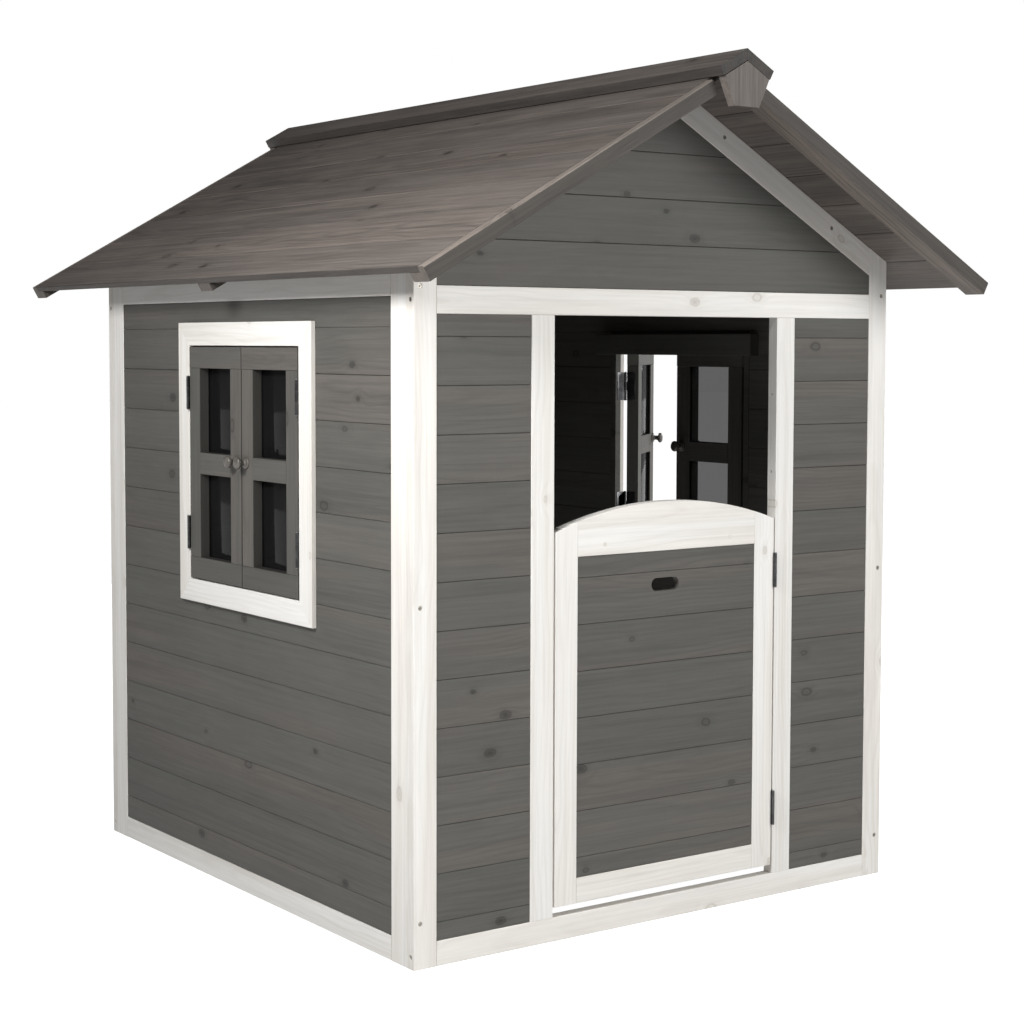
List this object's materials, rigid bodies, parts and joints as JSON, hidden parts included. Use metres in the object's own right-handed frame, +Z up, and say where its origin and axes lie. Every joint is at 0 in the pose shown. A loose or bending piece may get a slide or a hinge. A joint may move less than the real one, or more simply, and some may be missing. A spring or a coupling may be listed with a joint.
{
  "type": "timber playhouse",
  "caption": "Painted timber playhouse with boarded panel walls, pitched board roof, arched half door and casement windows with hinged, glazed sashes.",
  "frame": {"origin": "underside of the front bottom rail, mid-length and mid-thickness", "axes": "+X to the right seen from the front, +Y from the front wall to the back wall, +Z up"},
  "size_m": [1.3983, 1.5956, 1.5556],
  "materials": {
    "white_timber": "matt white stain, grain and knots showing faintly",
    "gray_timber": "matt grey stain, grain and knots showing",
    "roof_timber": "matt warm grey stain, grain and knots showing",
    "hinge_steel": "black coated steel",
    "screw_steel": "dark zinc-plated steel",
    "knob": "dark grey-brown, slightly glossy",
    "smoke_acrylic": "clear smoke-tinted acrylic sheet"
  },
  "bodies": {
    "house": {"front_corner_post_left": "white_timber", "front_corner_post_right": "white_timber", "front_bottom_rail": "white_timber", "front_top_rail": "white_timber", "door_post_left": "white_timber", "door_post_right": "white_timber", "front_wall_boards_left": "gray_timber", "front_wall_boards_right": "gray_timber", "front_gable_boards": "gray_timber", "front_gable_rafters": "white_timber", "back_corner_posts": "white_timber", "back_bottom_rail": "white_timber", "back_top_rail": "white_timber", "back_wall_boards": "gray_timber", "back_gable_boards": "gray_timber", "back_gable_rafters": "white_timber", "left_wall_posts": "white_timber", "left_wall_rails": "white_timber", "left_wall_boards": "gray_timber", "left_window_trim": "white_timber", "left_window_jambs": "gray_timber", "right_wall_posts": "white_timber", "right_wall_rails": "white_timber", "right_wall_boards": "gray_timber", "right_window_trim": "white_timber", "right_window_jambs": "gray_timber", "roof_boards_left": "roof_timber", "roof_boards_right": "roof_timber", "roof_battens_left": "roof_timber", "roof_battens_right": "roof_timber", "ridge_cap": "roof_timber", "ridge_laths": "roof_timber", "ridge_finials": "roof_timber", "frame_screws": "screw_steel", "hinge_frame_leaves": "hinge_steel", "hinge_pins": "hinge_steel"},
    "door": {"door_stiles": "white_timber", "door_top_rail": "white_timber", "door_bottom_rail": "white_timber", "door_boards": "gray_timber", "door_slot_board": "gray_timber", "door_rail_plugs": "white_timber", "door_hinge_leaves": "hinge_steel"},
    "left_front_sash": {"left_front_sash_frame": "gray_timber", "left_front_sash_panes": "smoke_acrylic", "left_front_sash_knobs": "knob", "left_front_sash_hinge_leaves": "hinge_steel"},
    "left_back_sash": {"left_back_sash_frame": "gray_timber", "left_back_sash_panes": "smoke_acrylic", "left_back_sash_knobs": "knob", "left_back_sash_hinge_leaves": "hinge_steel"},
    "right_front_sash": {"right_front_sash_frame": "gray_timber", "right_front_sash_panes": "smoke_acrylic", "right_front_sash_knobs": "knob", "right_front_sash_hinge_leaves": "hinge_steel"},
    "right_back_sash": {"right_back_sash_frame": "gray_timber", "right_back_sash_panes": "smoke_acrylic", "right_back_sash_knobs": "knob", "right_back_sash_hinge_leaves": "hinge_steel"}
  },
  "joints": [
    {"name": "door_hinge", "type": "hinge", "parent": "house", "child": "door", "pos_m": [0.26, -0.0147, 0.4], "axis": [0, 0, 1], "range_deg": [0, 165]},
    {"name": "left_front_sash_hinge", "type": "hinge", "parent": "house", "child": "left_front_sash", "pos_m": [-0.5622, 0.3571, 0.815], "axis": [0, 0, 1], "range_deg": [0, 160]},
    {"name": "left_back_sash_hinge", "type": "hinge", "parent": "house", "child": "left_back_sash", "pos_m": [-0.5622, 0.7879, 0.815], "axis": [0, 0, -1], "range_deg": [0, 160]},
    {"name": "right_front_sash_hinge", "type": "hinge", "parent": "house", "child": "right_front_sash", "pos_m": [0.5622, 0.3831, 0.815], "axis": [0, 0, -1], "range_deg": [0, 160]},
    {"name": "right_back_sash_hinge", "type": "hinge", "parent": "house", "child": "right_back_sash", "pos_m": [0.5622, 0.8139, 0.815], "axis": [0, 0, 1], "range_deg": [-131, 29]}
  ]
}
